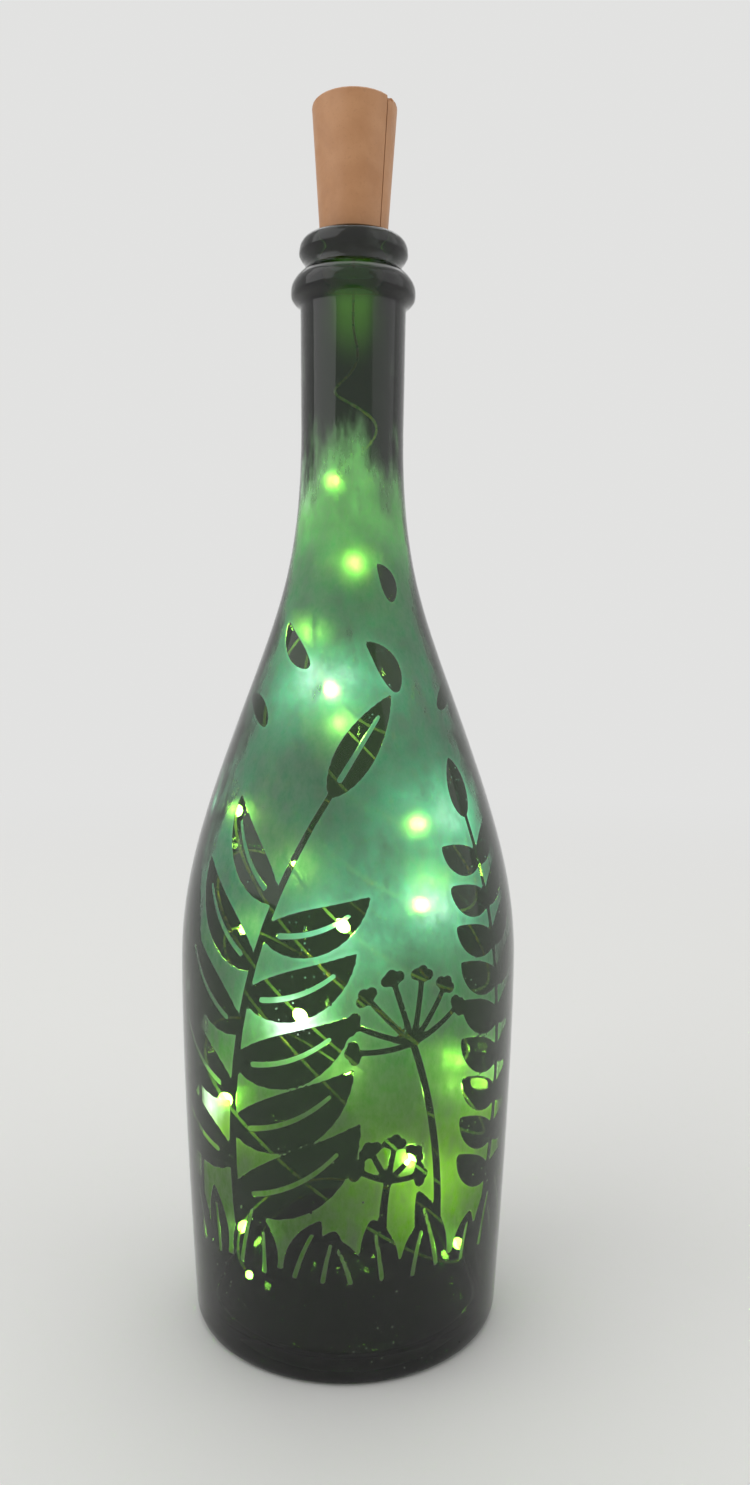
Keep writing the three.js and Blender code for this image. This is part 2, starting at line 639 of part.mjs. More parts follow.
function makeLightString() {
  const points = stringPoints();
  piece(bottleLight, "light_string", tube(points, STRING_R, STRING_SIDES), "copper");
  console.log(`light_string: least gap to itself ${leastGap(points, STRING_R).toFixed(2)} mm`);
  const up = new THREE.Vector3(0, 0, 1);
  const bore = STRING_R + GAP;
  const end = LIGHT_L / 2;
  const full = LIGHT_FULL_L / 2;
  const bead = outline(bore, -end).line(LIGHT_END_R, -end).line(LIGHT_R, -full).line(LIGHT_R, full);
  bead.line(LIGHT_END_R, end).line(bore, end).line(bore, -end);
  for (let i = 0; i < LIGHTS; i++) {
    const share = (LIGHT_LEAD + i * LIGHT_STEP) / STRING_L;
    const at = Math.min(STRING_STEPS - 1, Math.floor(share * STRING_STEPS));
    const name = `led_${String(i + 1).padStart(2, "0")}`;
    const light = piece(bottleLight, name, turned(bead.points, LIGHT_SIDES), "resin");
    light.position.lerpVectors(points[at], points[at + 1], 0.5);
    light.quaternion.setFromUnitVectors(up, points[at + 1].clone().sub(points[at]).normalize());
  }
  const last = points[STRING_STEPS];
  const tip = piece(bottleLight, "string_tip", cylinder(TIP_R, GAP, GAP + TIP_L, LIGHT_SIDES), "resin");
  tip.position.copy(last);
  tip.quaternion.setFromUnitVectors(up, last.clone().sub(points[STRING_STEPS - 1]).normalize());
}

makeBottle();
makeCorkBody();
makeBatteryCover();
makeCells();
makeContacts();
makeSwitch();
makeBoard();
makeLeads();
makeLightString();

export default bottleLight;
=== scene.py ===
"""Bottle light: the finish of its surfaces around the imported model, in metres, +Z up.

A dark green bottle with an etched ground, a cork-shaped battery stopper and a string of lights.
The front of the bottle faces -Y. Sizes of the bottle, its design and the string are written in
millimetres, angles in degrees, and the camera and the studio in metres.
"""
import json
import math

import bpy
import numpy as np
from mathutils import Matrix, Vector


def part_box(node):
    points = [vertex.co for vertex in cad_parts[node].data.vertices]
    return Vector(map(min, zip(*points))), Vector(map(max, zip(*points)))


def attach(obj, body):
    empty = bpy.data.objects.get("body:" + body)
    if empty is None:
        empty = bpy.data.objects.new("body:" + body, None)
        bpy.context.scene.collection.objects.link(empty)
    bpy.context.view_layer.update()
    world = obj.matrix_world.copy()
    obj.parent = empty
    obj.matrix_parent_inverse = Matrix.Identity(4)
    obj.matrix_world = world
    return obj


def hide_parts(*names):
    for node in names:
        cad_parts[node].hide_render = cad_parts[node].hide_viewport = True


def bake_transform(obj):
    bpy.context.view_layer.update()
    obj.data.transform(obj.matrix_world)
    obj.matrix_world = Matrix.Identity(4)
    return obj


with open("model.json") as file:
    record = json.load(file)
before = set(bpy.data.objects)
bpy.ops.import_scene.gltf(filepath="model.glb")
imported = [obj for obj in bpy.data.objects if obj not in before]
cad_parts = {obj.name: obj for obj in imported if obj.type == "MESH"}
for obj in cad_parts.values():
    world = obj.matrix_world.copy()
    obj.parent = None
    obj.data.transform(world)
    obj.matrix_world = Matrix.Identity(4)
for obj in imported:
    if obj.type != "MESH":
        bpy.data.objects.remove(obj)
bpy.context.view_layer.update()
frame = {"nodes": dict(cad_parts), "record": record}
NODES = frame["nodes"]
MM = 0.001

# Camera, from the photograph's frame of 750 x 1485 pixels
PHOTO_H = 1485
FOCAL_PX = 1100
SENSOR = 36
EYE = (0.0, -0.3006, 0.1807)
LOOK_DOWN, LOOK_RIGHT, ROLL = 4.5, 1.3, 0.52

# Bottle: heights and radii of its outside
BODY_Z, NECK_Z, COLLAR_Z, GROOVE_Z, LIP_Z, BOTTLE_H = 98, 240, 271.6, 281.8, 283.7, 290.2
BODY_R, FOOT_R, TURN_R, NECK_R = 45.7, 42, 29, 13.7
SEAT_R, COLLAR_R, GROOVE_R, LIP_R = 14, 16.52, 12.9, 14.42
BODY_BOW_Z, TURN_Z = 66, 167
SHOULDER_RISE, NECK_SETTLE = 22, 34
TURN_SLOPE, TURN_BELOW, TURN_ABOVE = 0.37, 30, 26.5
HEEL_R, RING_W, PUNT_H, PUNT_CORNER_R = 5, 4, 22, 20
RING_OUT_R = FOOT_R - HEEL_R / 2
RING_IN_R = RING_OUT_R - RING_W
COLLAR_FOOT, COLLAR_ROUND, COLLAR_SLOPE = 4, 5.3, 2.7
LIP_UNDER, LIP_SLOPE, LIP_ROUND = 2.4, 1.9, 3.8

# Bottle: its inside
WALL, BASE_T, BORE_R, INNER_HEEL, MOUTH_ROUND = 3.5, 5.5, 9.21, 10, 1

# Bottle: fineness of its mesh, as lengths, angles and steps of a curve
FINE, NECK_STEP, COARSE, INNER_STEP = 0.8, 2.0, 4.0, 8.0
FINE_HALF_TURN, BACK_STEP = 98, 5
SIDE_STEPS, PUNT_STEPS, ROUND_STEPS, SWELL_STEPS = 60, 40, 12, 10
HEEL_STEPS, SMALL_STEPS, MOUTH_STEPS = 8, 6, 5

# Glass: how it bends light, and the colour and strength of what it absorbs
GLASS_IOR = 1.5
GLASS_COLOUR, GLASS_DENSITY = (0.38, 0.57, 0.08, 1), 1100

# Light string, as it lies in the bottle
STRING_L, STRING_R = 2000, 0.4
STRING_TOP, NECK_COIL_R = 285.6, 6.46
NECK_START, NECK_TURNS, NECK_STRAIGHT, NECK_WIDEN = -3.2, 2.17, 0.22, 0.4
LOOP_TOP_Z, LOOP_LOW_Z, LOOP_REST_Z = 214.1, 28.1, 17
LOOPS, LOOP_EASE = 8.94, 0.15
LOOP_TILT, LOOP_TILT_RATE, LOOP_TILT_PHASE = 31.2, 0.968, 0.11
LOOP_SWAY, LOOP_SWAY_RATE, LOOP_SWAY_PHASE = 6.2, 0.601, 0.165
LOOP_ROOM = 2.2
LOOP_STEPS = 96
NECK_STEPS = 160

# Light string: length of its wires' twist, the pair's waist as a share, and a first way across it
STRAND_TWIST, STRAND_SIDES = 7.0, 12
STRAND_WAIST, STRAND_FULLNESS = 0.62, 0.8
STRAND_ACROSS = (0.6, 0.8, 0.0)

# Lights on the string: resin drops, the chips in them and the sealed tip
LIGHTS = 20
DROP_R, DROP_L = 1.5, 4.4
TIP_R, TIP_L = 0.9, 3.0
DROP_FULLNESS, DROP_OVER_WIRE = 0.6, 0.05
DROP_ROWS, DROP_SIDES = 14, 24
CHIP_L, CHIP_W, CHIP_H = 1.6, 0.8, 0.55
CHIP_OFF, CHIP_BEVEL = 0.35, 0.12
RESIN_IOR = 1.5
RESIN_LIT, CHIP_LIT = 60, 150

# Etched ground: angles from the front and heights over which it fades out
SIDE_FROM, SIDE_TO = 42, 80
FADE_FROM_Z, FADE_TO_Z = 200, 262
NECK_SIDE, NECK_SIDE_FROM_Z, NECK_SIDE_TO_Z = 16, 185, 225

# Light on the etched ground, whose tint changes at two shares of the bottle's height
GLOW, GLOW_SPREAD, GLOW_REACH, GLOW_LIMIT = 210, 3, 25, 4
NECK_GAIN, NECK_GAIN_FROM_Z, NECK_GAIN_TO_Z = 2.0, 196, 218
LOW_TINT_FROM, LOW_TINT_TO = 0.22, 0.40
NECK_TINT_FROM, NECK_TINT_TO = 0.60, 0.74

# Light that the stopper's end throws back into the bore, in the neck's middle
BORE_LIT = 0.7
BORE_LIT_FROM_Z, BORE_LIT_TO_Z, BORE_LIT_END_Z = 257, 275, 282
BORE_LIT_HALF, BORE_LIT_EDGE = 2.5, 7.5

# Light on the wire
WIRE_LIT, WIRE_REACH = 5, 9

# Etched design: a leaf's outline, with its least half width, and the vein along its middle
LEAF_SKEW, LEAF_FULLNESS, LEAF_LEAST = 0.8, 0.85, 0.35
VEIN_FROM, VEIN_TO, VEIN_TAPER = 2, -3, 0.7

# Etched design: stems' widths at foot and tip, and leaves on them by shares, angles and sizes
SPRIG_STEM, SPRIG_FIRST, SPRIG_SPAN = (2.6, 1.4), 0.16, 0.68
SPRIG_TAPER, SPRIG_ANGLE, SPRIG_CLOSING, SPRIG_BOW = 0.5, 64, 18, 0.12
SPRIG_TIP_L, SPRIG_TIP_W = 0.62, 0.55
FROND_STEM, FROND_FIRST, FROND_SPAN = (2.2, 1.2), 0.2, 0.78
FROND_WIDEST, FROND_TAPER = 0.45, 0.45
FROND_ANGLE, FROND_CLOSING, FROND_BOW, FROND_TIP = 72, 20, 0.1, 0.8
UMBEL_STEM, UMBEL_HALF, UMBEL_LEAST = (2.4, 1.8), 78, 0.82
SPOKE_W, SPOKE_BOW = (1.5, 1.4), 0.04
FLORET_TURNS, FLORET_L, FLORET_HALVES = (-60, 0, 60), 1.9, (0.8, 1.4)
SEED_STEM, SEED_FIRST, SEED_SPAN = (1.8, 1.2), 0.55, 0.44
SEED_ANGLE, SEED_BOW, SEED_W = 26, 0.6, 3.2

# Etched design: its ground, in waves of a height, a length and a shift, and the low leaves on it
GROUND_Z = 31
GROUND_WAVES = [(1.6, 13, 0.6), (0.8, 5.1, 0.0)]
LOW_SEED = 11
LOW_HALF, LOW_STEP, LOW_ROOT = 96, 7.5, 5
LOW_LEAN, LOW_TALL, LOW_WIDE = (-9, 9), (8, 19), (7, 9)
LOW_BOW, LOW_VEIN = 0.12, 1.2

# Etched design: leaves adrift, each with its two ends, bow and width
DRIFTING = [
    ((12, 172), (4, 184), -1.5, 5.2),
    ((-11, 178), (-18, 189), 1.4, 4.8),
    ((11, 195), (7, 204), -1.0, 4.0),
    ((-24, 163), (-33, 170), -1.3, 4.6),
    ((26, 168), (33, 176), -1.2, 4.4),
]

# Shading of CAD solids: edges under this angle look smooth, and points this near are one
SMOOTH_UNDER, MERGE_UNDER = 28, 0.002

# Studio: the floor fades into the world between two distances; lamps have a place, size and power
FLOOR, FLOOR_ROUGH = (0.84, 0.84, 0.82), 0.7
FLOOR_HALF, FLOOR_NEAR, FLOOR_FAR = 4.0, 0.25, 1.2
WORLD_COLOUR = (0.99, 0.99, 0.98, 1)
WORLD_LIGHT, WORLD_SEEN = 0.5, 0.77
LAMP_AIM = (0, 0, 0.15)
LAMPS = [
    ("key", (-1.8, -0.8, 1.5), 2.6, 20),
    ("fill", (1.9, -0.6, 1.1), 2.4, 8),
    ("top", (0.0, 0.7, 2.0), 2.0, 12),
]

# Corners of a square, in order
SQUARE = [(-1, -1), (1, -1), (1, 1), (-1, 1)]


# Camera and string, which come first

def make_camera():
    """The camera at the photograph's place and angle."""
    data = bpy.data.cameras.new("camera")
    data.sensor_width = SENSOR
    data.lens = SENSOR * FOCAL_PX / PHOTO_H
    camera = bpy.data.objects.new("camera", data)
    turn = Matrix.Rotation(math.radians(-LOOK_RIGHT), 4, "Z")
    tilt = Matrix.Rotation(math.radians(90 - LOOK_DOWN), 4, "X")
    roll = Matrix.Rotation(math.radians(ROLL), 4, "Z")
    camera.matrix_world = Matrix.Translation(EYE) @ turn @ tilt @ roll
    bpy.context.scene.collection.objects.link(camera)
    bpy.context.scene.camera = camera


def smooth(t):
    """A soft step from 0 to 1."""
    x = np.clip(t, 0, 1)
    return x * x * (3 - 2 * x)


def bezier(points, count):
    """Points on a Bezier curve of any degree, its start left out."""
    t = np.linspace(0, 1, count + 1)[1:, None]
    rows = [np.repeat(np.array([p], float), count, axis=0) for p in points]
    while len(rows) > 1:
        rows = [a + (b - a) * t for a, b in zip(rows, rows[1:])]
    return rows[0]


def lengths_along(points):
    """The length of a line from its start to each of its points."""
    return np.append(0, np.cumsum(np.linalg.norm(np.diff(points, axis=0), axis=1)))


def walked(points, lengths, at):
    """The points at some lengths along a line."""
    return np.column_stack([np.interp(at, lengths, points[:, i]) for i in range(points.shape[1])])


def body_side(inset, foot_z, waist_r):
    """Radius and height of the body and shoulder, from the foot to the neck's waist."""
    wide, turn = BODY_R - inset, TURN_R - inset
    low, high = turn + TURN_SLOPE * TURN_BELOW, turn - TURN_SLOPE * TURN_ABOVE
    start = (FOOT_R - inset, foot_z)
    belly = bezier([start, (wide, BODY_BOW_Z), (wide, BODY_Z)], SIDE_STEPS)
    middle, waist = (turn, TURN_Z), (waist_r, NECK_Z)
    shoulder = [belly[-1], (wide, BODY_Z + SHOULDER_RISE), (low, TURN_Z - TURN_BELOW), middle]
    throat = [middle, (high, TURN_Z + TURN_ABOVE), (waist_r, NECK_Z - NECK_SETTLE), waist]
    return np.vstack([[start], belly, bezier(shoulder, SIDE_STEPS), bezier(throat, SIDE_STEPS)])


INNER_SIDE = body_side(WALL, BASE_T + INNER_HEEL, BORE_R)
OUTER_SIDE = body_side(0, HEEL_R, NECK_R)


def neck_coil():
    """The string's slack coil down the neck."""
    t = np.linspace(0, 1, NECK_STEPS + 1)
    turn = NECK_START + 2 * math.pi * NECK_TURNS * smooth(t)
    r = NECK_COIL_R * smooth((t - NECK_STRAIGHT) / NECK_WIDEN)
    z = STRING_TOP + (LOOP_TOP_Z - STRING_TOP) * t
    return np.column_stack([r * np.cos(turn), r * np.sin(turn), z])


def body_loops():
    """The string's loops, which lean against the glass and come to rest on the base."""
    t = np.linspace(0, 1, round(LOOPS * LOOP_STEPS) + 1)[1:]
    turn = NECK_START + 2 * math.pi * (NECK_TURNS + LOOPS * t)
    opened = smooth(t / LOOP_EASE)
    rest = smooth((t + LOOP_EASE - 1) / LOOP_EASE)
    lean = LOOP_TILT * opened * np.sin(turn * LOOP_TILT_RATE + LOOP_TILT_PHASE)
    loose = LOOP_TOP_Z + (LOOP_LOW_Z - LOOP_TOP_Z) * t + lean
    z = loose + (LOOP_REST_Z - loose) * rest
    sway = 0.5 + 0.5 * np.sin(turn * LOOP_SWAY_RATE + LOOP_SWAY_PHASE)
    glass = np.interp(z, INNER_SIDE[:, 1], INNER_SIDE[:, 0])
    r = glass - LOOP_ROOM - LOOP_SWAY * opened * sway
    r = NECK_COIL_R + (r - NECK_COIL_R) * opened
    return np.column_stack([r * np.cos(turn), r * np.sin(turn), z])


def string_route():
    """The string's centreline in metres, with a point at each millimetre of its length."""
    route = np.vstack([neck_coil(), body_loops()])
    return walked(route, lengths_along(route), np.arange(0, STRING_L + 1)) * MM


def new_object(name, points, faces):
    """A smooth-shaded mesh object in the scene."""
    mesh = bpy.data.meshes.new(name)
    mesh.from_pydata([tuple(p) for p in points], [], [tuple(f) for f in faces])
    mesh.polygons.foreach_set("use_smooth", [True] * len(mesh.polygons))
    made = bpy.data.objects.new(name, mesh)
    bpy.context.scene.collection.objects.link(made)
    return made


def grid_faces(rows, columns):
    """Quads between rows of points, each row a ring."""
    j = np.arange(columns)
    i = np.arange(rows - 1)[:, None] * columns
    a, b = i + j, i + (j + 1) % columns
    return np.stack([a, b, b + columns, a + columns], axis=-1).reshape(-1, 4).tolist()


def cap_faces(rows, columns, first, last):
    """Triangles from a grid's first and last rings to a point at the middle of each."""
    end = (rows - 1) * columns
    faces = []
    for j in range(columns):
        k = (j + 1) % columns
        faces.append([first, k, j])
        faces.append([last, end + j, end + k])
    return faces


def carried_frames(path):
    """For each point of a path, two directions across it that don't spin."""
    way = np.gradient(path, axis=0)
    way /= np.linalg.norm(way, axis=1)[:, None]
    across = np.zeros_like(way)
    last = np.array(STRAND_ACROSS)
    for i, w in enumerate(way):
        last = last - w * last.dot(w)
        last /= np.linalg.norm(last)
        across[i] = last
    return across, np.cross(way, across)


def make_string():
    """Two enamelled wires twisted round each other, as one skin with a waisted section."""
    path = string_route()
    across, beside = carried_frames(path)
    turn = np.linspace(0, 2 * math.pi, STRAND_SIDES, endpoint=False)
    lobes = np.abs(np.cos(turn)) ** STRAND_FULLNESS
    r = STRING_R * MM * (STRAND_WAIST + (1 - STRAND_WAIST) * lobes)
    spin = np.arange(len(path))[:, None] * 2 * math.pi / STRAND_TWIST
    c, s = np.cos(turn + spin) * r, np.sin(turn + spin) * r
    rings = path[:, None] + across[:, None] * c[..., None] + beside[:, None] * s[..., None]
    faces = grid_faces(len(path), STRAND_SIDES)
    end = (len(path) - 1) * STRAND_SIDES
    faces.append(list(range(STRAND_SIDES))[::-1])
    faces.append(list(range(end, end + STRAND_SIDES)))
    string = new_object("twisted_wire", rings.reshape(-1, 3), faces)
    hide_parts("light_string")
    return string, path


make_camera()
STRING, PATH = make_string()


# Node materials

class Paint:
    """A node material: its Principled shader, and short calls that add nodes to it."""

    def __init__(self, name):
        self.material = bpy.data.materials.new(name)
        self.material.use_nodes = True
        self.tree = self.material.node_tree
        self.shader = self.tree.nodes["Principled BSDF"]
        self.output = self.tree.nodes["Material Output"]
        self.place = self.add("ShaderNodeTexCoord").outputs["Object"]

    def add(self, kind, **settings):
        node = self.tree.nodes.new(kind)
        for key, value in settings.items():
            setattr(node, key, value)
        return node

    def put(self, socket, value):
        """Links a node's output to a socket, or sets the socket to a plain value."""
        if isinstance(value, bpy.types.NodeSocket):
            self.tree.links.new(value, socket)
        else:
            socket.default_value = value

    def set(self, **values):
        """Fills the Principled shader's inputs, by their names with _ for a space."""
        for key, value in values.items():
            self.put(self.shader.inputs[key.replace("_", " ")], value)

    def scaled(self, size, stretch=(1, 1, 1)):
        """The place on the object, in steps of a size in millimetres."""
        node = self.add("ShaderNodeVectorMath", operation="MULTIPLY")
        self.put(node.inputs[0], self.place)
        node.inputs[1].default_value = [1 / (size * MM * s) for s in stretch]
        return node.outputs[0]

    def noise(self, size, detail=3, stretch=(1, 1, 1), rough=0.55):
        """Clouds of about a size in millimetres."""
        node = self.add("ShaderNodeTexNoise")
        self.put(node.inputs["Vector"], self.scaled(size, stretch))
        node.inputs["Scale"].default_value = 1
        node.inputs["Detail"].default_value = detail
        node.inputs["Roughness"].default_value = rough
        return node.outputs["Fac"]

    def cells(self, size):
        """Distance from the nearest of many scattered points, in steps of a size in millimetres."""
        node = self.add("ShaderNodeTexVoronoi")
        self.put(node.inputs["Vector"], self.scaled(size))
        node.inputs["Scale"].default_value = 1
        return node.outputs["Distance"]

    def attribute(self, name):
        return self.add("ShaderNodeAttribute", attribute_name=name).outputs["Fac"]

    def math(self, operation, a, b=0.0):
        node = self.add("ShaderNodeMath", operation=operation)
        self.put(node.inputs[0], a)
        self.put(node.inputs[1], b)
        return node.outputs[0]

    def spread(self, value, low, high, out_low=0.0, out_high=1.0, kind="LINEAR"):
        """Maps low to high onto another range, and holds the ends."""
        node = self.add("ShaderNodeMapRange", interpolation_type=kind)
        limits = {"From Min": low, "From Max": high, "To Min": out_low, "To Max": out_high}
        self.put(node.inputs["Value"], value)
        for name, limit in limits.items():
            self.put(node.inputs[name], limit)
        return node.outputs["Result"]

    def mix(self, share, a, b):
        """Colour a where the share is 0, and b where it is 1."""
        node = self.add("ShaderNodeMix", data_type="RGBA")
        self.put(node.inputs[0], share)
        self.put(node.inputs[6], rgba(a))
        self.put(node.inputs[7], rgba(b))
        return node.outputs[2]

    def bump(self, height, distance, strength=1.0, before=None):
        """A bump of a distance in millimetres, on top of the one before it."""
        node = self.add("ShaderNodeBump")
        node.inputs["Strength"].default_value = strength
        node.inputs["Distance"].default_value = distance * MM
        self.put(node.inputs["Height"], height)
        if before is not None:
            self.put(node.inputs["Normal"], before)
        return node.outputs["Normal"]


def rgba(colour):
    return colour if isinstance(colour, bpy.types.NodeSocket) else (*colour, 1.0)


def cork_plastic():
    """Moulded plastic the colour of cork, with a faint mottle and a fine moulded grain."""
    paint = Paint("cork_plastic")
    mottle = paint.spread(paint.noise(9, 4), 0.35, 0.65)
    speck = paint.spread(paint.noise(0.7, 2), 0.58, 0.72, 0, 0.35)
    tan = paint.mix(mottle, (0.46, 0.215, 0.09), (0.54, 0.27, 0.125))
    paint.set(Base_Color=paint.mix(speck, tan, (0.40, 0.19, 0.085)))
    paint.set(Roughness=paint.spread(paint.noise(4, 3), 0.3, 0.7, 0.42, 0.56))
    grain = paint.bump(paint.noise(0.35, 2), 0.03, 0.5)
    paint.set(Normal=paint.bump(paint.noise(6, 2), 0.12, 0.5, grain))
    return paint.material


def metal(name, colour, shade, rough):
    """Plated or rolled metal with fine drawn marks and a little tarnish."""
    paint = Paint(name)
    tarnish = paint.spread(paint.noise(2.5, 4), 0.4, 0.7)
    paint.set(Base_Color=paint.mix(tarnish, colour, shade), Metallic=1.0)
    marks = paint.noise(0.25, 2, (1, 1, 6))
    paint.set(Roughness=paint.spread(marks, 0.3, 0.7, rough - 0.08, rough + 0.1))
    paint.set(Normal=paint.bump(marks, 0.01, 0.4))
    return paint.material


def plastic(name, colour, shade, rough):
    """Moulded plastic or wire insulation with a slight variation and grain."""
    paint = Paint(name)
    paint.set(Base_Color=paint.mix(paint.spread(paint.noise(3, 3), 0.35, 0.65), colour, shade))
    paint.set(Roughness=paint.spread(paint.noise(1.2, 2), 0.3, 0.7, rough - 0.07, rough + 0.07))
    paint.set(Normal=paint.bump(paint.noise(0.3, 2), 0.015, 0.4))
    return paint.material


def board_lacquer():
    """Green lacquer over copper tracks, with bare tinned pads."""
    paint = Paint("board_lacquer")
    track = paint.spread(paint.cells(2.4), 0.42, 0.46)
    green = paint.mix(track, (0.018, 0.11, 0.045), (0.03, 0.17, 0.06))
    pad = paint.spread(paint.cells(2.4), 0.17, 0.14)
    paint.set(Base_Color=paint.mix(pad, green, (0.62, 0.58, 0.5)), Metallic=pad)
    paint.set(Roughness=paint.spread(paint.noise(0.8, 2), 0.3, 0.7, 0.28, 0.4))
    paint.set(Normal=paint.bump(track, 0.04, 0.6))
    return paint.material


def enamelled_copper():
    """Enamelled wire, lit where one of its lights is near."""
    paint = Paint("enamelled_copper")
    tone = paint.spread(paint.noise(6, 3), 0.35, 0.65)
    paint.set(Base_Color=paint.mix(tone, (0.62, 0.30, 0.13), (0.48, 0.21, 0.085)), Metallic=1.0)
    paint.set(Roughness=paint.spread(paint.noise(1.5, 2), 0.3, 0.7, 0.22, 0.36))
    paint.set(Emission_Color=paint.mix(tone, (0.80, 1.0, 0.72), (0.74, 0.95, 0.62)))
    paint.set(Emission_Strength=paint.math("MULTIPLY", paint.attribute("lit"), WIRE_LIT))
    paint.set(Normal=paint.bump(paint.noise(0.5, 2), 0.01, 0.4))
    return paint.material


def resin():
    """Clear resin that carries the light of the chip inside it."""
    paint = Paint("clear_resin")
    haze = paint.spread(paint.noise(1.1, 3), 0.35, 0.65)
    paint.set(Base_Color=paint.mix(haze, (0.95, 0.98, 0.95), (0.88, 0.95, 0.90)))
    paint.set(Roughness=paint.spread(haze, 0, 1, 0.06, 0.16))
    paint.set(Transmission_Weight=1.0, IOR=RESIN_IOR)
    paint.set(Emission_Color=paint.mix(haze, (0.90, 1.0, 0.93), (0.80, 1.0, 0.88)))
    paint.set(Emission_Strength=RESIN_LIT)
    paint.set(Normal=paint.bump(paint.noise(0.8, 2), 0.02, 0.4))
    return paint.material


def light_chip():
    """The white light chip and its phosphor."""
    paint = Paint("light_chip")
    grain = paint.spread(paint.noise(0.2, 2), 0.35, 0.65)
    paint.set(Base_Color=paint.mix(grain, (0.95, 0.9, 0.5), (0.9, 0.82, 0.4)), Roughness=0.5)
    paint.set(Emission_Color=paint.mix(grain, (1.0, 1.0, 0.95), (0.95, 1.0, 0.9)))
    paint.set(Emission_Strength=CHIP_LIT)
    return paint.material


def etched_cover(paint):
    """Share of the etched ground that is left, patchy and streaky where it fades out."""
    streaks = paint.spread(paint.noise(5, 4, (1, 1, 5), 0.65), 0.25, 0.75, -0.3, 0.3)
    patches = paint.spread(paint.noise(11, 3, (1, 1, 2)), 0.3, 0.7, -0.28, 0.28)
    cover = paint.math("ADD", paint.attribute("cover"), paint.math("ADD", patches, streaks))
    return paint.spread(cover, 0.15, 0.95, kind="SMOOTHSTEP")


def etched_frost(paint, kept):
    """1 on the etched ground, and 0 on the design and on small flaws."""
    cut = paint.spread(paint.attribute("etch"), -0.15, 0.15, kind="SMOOTHSTEP")
    flaw = paint.spread(paint.cells(11), 0.03, 0.045)
    return paint.math("MULTIPLY", paint.math("MULTIPLY", cut, kept), flaw)


def etched_matt(paint, frost, kept, cloud):
    """How matt the glass is: mottled on the etched ground, with dust on the design too."""
    mottle = paint.spread(paint.noise(2.8, 5, (1, 1, 1.7), 0.7), 0.32, 0.68, 0.7, 1.06)
    even = paint.math("MULTIPLY", frost, paint.spread(cloud, 0, 1, 0.82, 1.0))
    speck = paint.spread(paint.cells(1.7), 0.17, 0.10)
    dusty = paint.math("MULTIPLY", kept, paint.spread(paint.noise(15, 3), 0.46, 0.62, 0, 0.6))
    dust = paint.math("MULTIPLY", speck, dusty)
    return paint.math("MAXIMUM", paint.math("MULTIPLY", even, mottle), dust)


def bore_light(paint, inside):
    """Strength of the light on the bore's wall below the stopper."""
    split = paint.add("ShaderNodeSeparateXYZ")
    paint.put(split.inputs[0], paint.place)
    x, z = paint.math("ABSOLUTE", split.outputs["X"]), split.outputs["Z"]
    rise = paint.spread(z, BORE_LIT_FROM_Z * MM, BORE_LIT_TO_Z * MM, kind="SMOOTHSTEP")
    fall = paint.spread(z, BORE_LIT_TO_Z * MM, BORE_LIT_END_Z * MM, 1, 0, "SMOOTHSTEP")
    middle = paint.spread(x, BORE_LIT_HALF * MM, BORE_LIT_EDGE * MM, BORE_LIT, 0, "SMOOTHSTEP")
    band = paint.math("MULTIPLY", rise, fall)
    return paint.math("MULTIPLY", paint.math("MULTIPLY", band, middle), inside)


def light_glass(paint, matt, cloud, height):
    """Emission for the light that the etched ground scatters, and for the light in the bore."""
    low = paint.spread(height, LOW_TINT_FROM, LOW_TINT_TO)
    low_tint = paint.mix(low, (0.29, 0.78, 0.02), (0.20, 0.82, 0.42))
    tint = paint.mix(paint.spread(height, NECK_TINT_FROM, NECK_TINT_TO), low_tint, (0.24, 0.80, 0.18))
    glow = paint.math("MULTIPLY", paint.attribute("glow"), paint.spread(cloud, 0, 1, 0.5, 1.3))
    inside = paint.spread(height, 0.02, 0.01)
    hot = paint.math("MAXIMUM", paint.spread(glow, 0.7, 2.2), inside)
    paint.set(Emission_Color=paint.mix(hot, tint, (0.85, 1.0, 0.93)))
    rim = paint.spread(paint.attribute("etch"), 0.2, 0.9, 1.4, 1.0)
    scattered = paint.math("MULTIPLY", paint.math("MULTIPLY", glow, rim), matt)
    paint.set(Emission_Strength=paint.math("ADD", scattered, bore_light(paint, inside)))


def tint_depth(paint):
    """Green that deepens with the way through the glass."""
    depth = paint.add("ShaderNodeVolumeAbsorption")
    depth.inputs["Color"].default_value = GLASS_COLOUR
    depth.inputs["Density"].default_value = GLASS_DENSITY
    paint.put(paint.output.inputs["Volume"], depth.outputs["Volume"])


def etched_glass():
    """Dark green glass: clear and glossy, or matt where it is etched, lit there by the lights inside."""
    paint = Paint("etched_green_glass")
    cloud = paint.spread(paint.noise(16, 5, (1, 1, 1.4), 0.6), 0.3, 0.7)
    height = paint.attribute("height")
    kept = etched_cover(paint)
    frost = etched_frost(paint, kept)
    matt = etched_matt(paint, frost, kept, cloud)
    low = paint.spread(height, LOW_TINT_FROM, LOW_TINT_TO)
    shade = paint.mix(low, (0.09, 0.26, 0.03), (0.09, 0.28, 0.16))
    paint.set(Base_Color=paint.mix(matt, (0.93, 0.98, 0.92), shade))
    paint.set(Roughness=paint.spread(matt, 0, 1, 0.03, 0.55))
    paint.set(Transmission_Weight=paint.spread(matt, 0, 1, 1.0, 0.75), IOR=GLASS_IOR)
    paint.set(Specular_Tint=paint.mix(matt, (1.0, 1.0, 1.0), (0.25, 0.38, 0.28)))
    light_glass(paint, matt, cloud, height)
    grain = paint.bump(paint.math("MULTIPLY", paint.noise(0.5, 2), matt), 0.05, 0.6)
    step = paint.bump(paint.math("SUBTRACT", 1.0, frost), 0.12, 0.7, grain)
    paint.set(Normal=paint.bump(paint.noise(28, 2), 0.25, 0.35, step))
    tint_depth(paint)
    return paint.material


